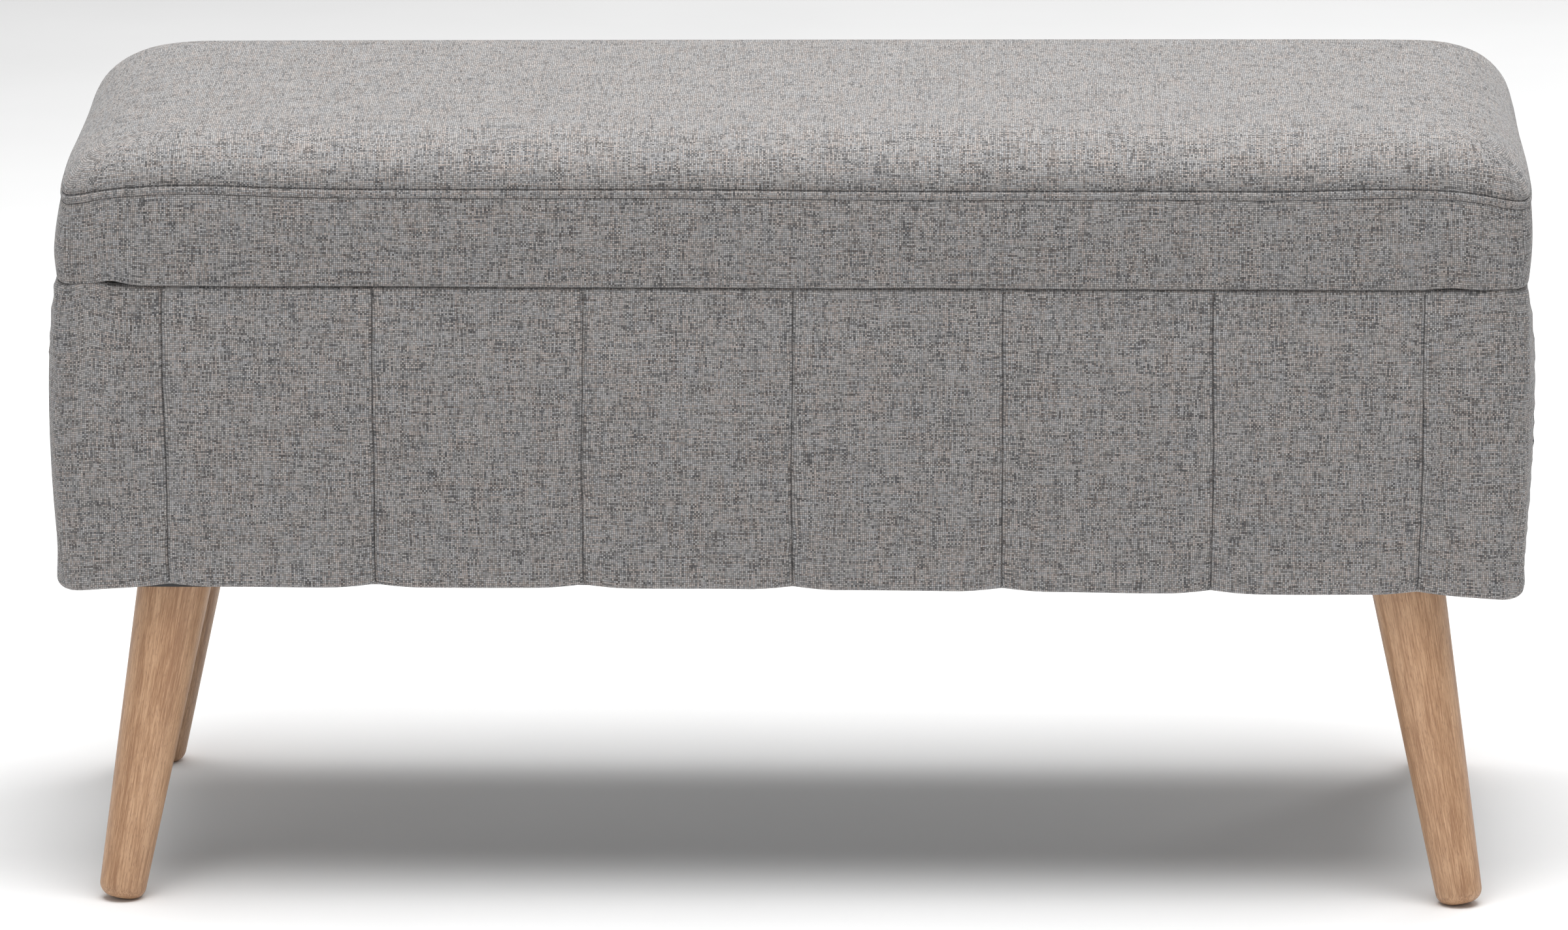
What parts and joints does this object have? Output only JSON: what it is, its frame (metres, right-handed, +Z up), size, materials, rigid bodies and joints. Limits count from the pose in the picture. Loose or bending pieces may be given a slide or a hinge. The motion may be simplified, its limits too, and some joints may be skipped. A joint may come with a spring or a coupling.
{
  "type": "storage bench",
  "caption": "Upholstered bench with a padded hinged lid over a storage box, on splayed round tapered wooden legs.",
  "frame": {"origin": "on the floor, under the middle of the bench", "axes": "+X along the bench to the right as seen from the front, the front faces -Y, +Z up"},
  "size_m": [1, 0.4, 0.532],
  "materials": {
    "cover_fabric": "plain weave of mixed grey yarns",
    "foam": "open-cell foam",
    "fibreboard": "raw medium-density fibreboard",
    "beech": "beech under clear matt lacquer",
    "lining_fabric": "black non-woven",
    "black_steel": "black powder coat",
    "zinc_steel": "bright zinc plate",
    "black_tube": "satin black enamel",
    "chrome_rod": "polished hard chrome",
    "black_plastic": "moulded black nylon"
  },
  "bodies": {
    "box": {"front_panel": "fibreboard", "back_panel": "fibreboard", "left_panel": "fibreboard", "right_panel": "fibreboard", "bottom_panel": "fibreboard", "wall_screws": "zinc_steel", "bottom_screws": "zinc_steel", "front_padding": "foam", "back_padding": "foam", "left_padding": "foam", "right_padding": "foam", "box_cover": "cover_fabric", "storage_lining": "lining_fabric", "dust_cover": "lining_fabric", "front_left_leg_plate": "black_steel", "front_right_leg_plate": "black_steel", "back_left_leg_plate": "black_steel", "back_right_leg_plate": "black_steel", "front_left_leg": "beech", "front_right_leg": "beech", "back_left_leg": "beech", "back_right_leg": "beech", "hanger_bolts": "zinc_steel", "leg_plate_screws": "black_steel", "left_hinge_box_leaf": "zinc_steel", "middle_hinge_box_leaf": "zinc_steel", "right_hinge_box_leaf": "zinc_steel", "hinge_pins": "zinc_steel", "hinge_box_screws": "zinc_steel", "left_stay_box_bracket": "zinc_steel", "right_stay_box_bracket": "zinc_steel", "stay_box_clips": "zinc_steel", "stay_box_screws": "zinc_steel"},
    "lid": {"lid_board": "fibreboard", "lid_foam": "foam", "lid_band_cover": "cover_fabric", "lid_top_cover": "cover_fabric", "lid_lining": "lining_fabric", "left_hinge_lid_leaf": "zinc_steel", "middle_hinge_lid_leaf": "zinc_steel", "right_hinge_lid_leaf": "zinc_steel", "hinge_lid_screws": "zinc_steel", "left_stay_lid_bracket": "zinc_steel", "right_stay_lid_bracket": "zinc_steel", "stay_lid_clips": "zinc_steel", "stay_lid_screws": "zinc_steel"},
    "left_stay_tube": {"left_stay_tube": "black_tube", "left_stay_guide": "black_plastic", "left_stay_tube_eye": "black_plastic"},
    "left_stay_rod": {"left_stay_rod": "chrome_rod", "left_stay_piston": "black_plastic", "left_stay_rod_eye": "black_plastic"},
    "right_stay_tube": {"right_stay_tube": "black_tube", "right_stay_guide": "black_plastic", "right_stay_tube_eye": "black_plastic"},
    "right_stay_rod": {"right_stay_rod": "chrome_rod", "right_stay_piston": "black_plastic", "right_stay_rod_eye": "black_plastic"}
  },
  "joints": [
    {"name": "lid_hinge", "type": "hinge", "parent": "box", "child": "lid", "pos_m": [0, 0.1975, 0.428], "axis": [-1, 0, 0], "range_deg": [0, 85]},
    {"name": "left_stay_box_pivot", "type": "hinge", "parent": "box", "child": "left_stay_rod", "pos_m": [-0.4598, 0.1565, 0.2652], "axis": [-1, 0, 0], "range_deg": [0, 42.5]},
    {"name": "left_stay_lid_pivot", "type": "hinge", "parent": "lid", "child": "left_stay_tube", "pos_m": [-0.4598, 0.02998, 0.417], "axis": [-1, 0, 0], "range_deg": [-42.5, 0]},
    {"name": "right_stay_box_pivot", "type": "hinge", "parent": "box", "child": "right_stay_rod", "pos_m": [0.4598, 0.1565, 0.2652], "axis": [-1, 0, 0], "range_deg": [0, 42.5]},
    {"name": "right_stay_lid_pivot", "type": "hinge", "parent": "lid", "child": "right_stay_tube", "pos_m": [0.4598, 0.02998, 0.417], "axis": [-1, 0, 0], "range_deg": [-42.5, 0]}
  ],
  "couplings": [
    {"joint": "left_stay_box_pivot", "follows": "lid_hinge", "ratio": 0.5},
    {"joint": "left_stay_lid_pivot", "follows": "lid_hinge", "ratio": -0.5},
    {"joint": "right_stay_box_pivot", "follows": "lid_hinge", "ratio": 0.5},
    {"joint": "right_stay_lid_pivot", "follows": "lid_hinge", "ratio": -0.5}
  ]
}
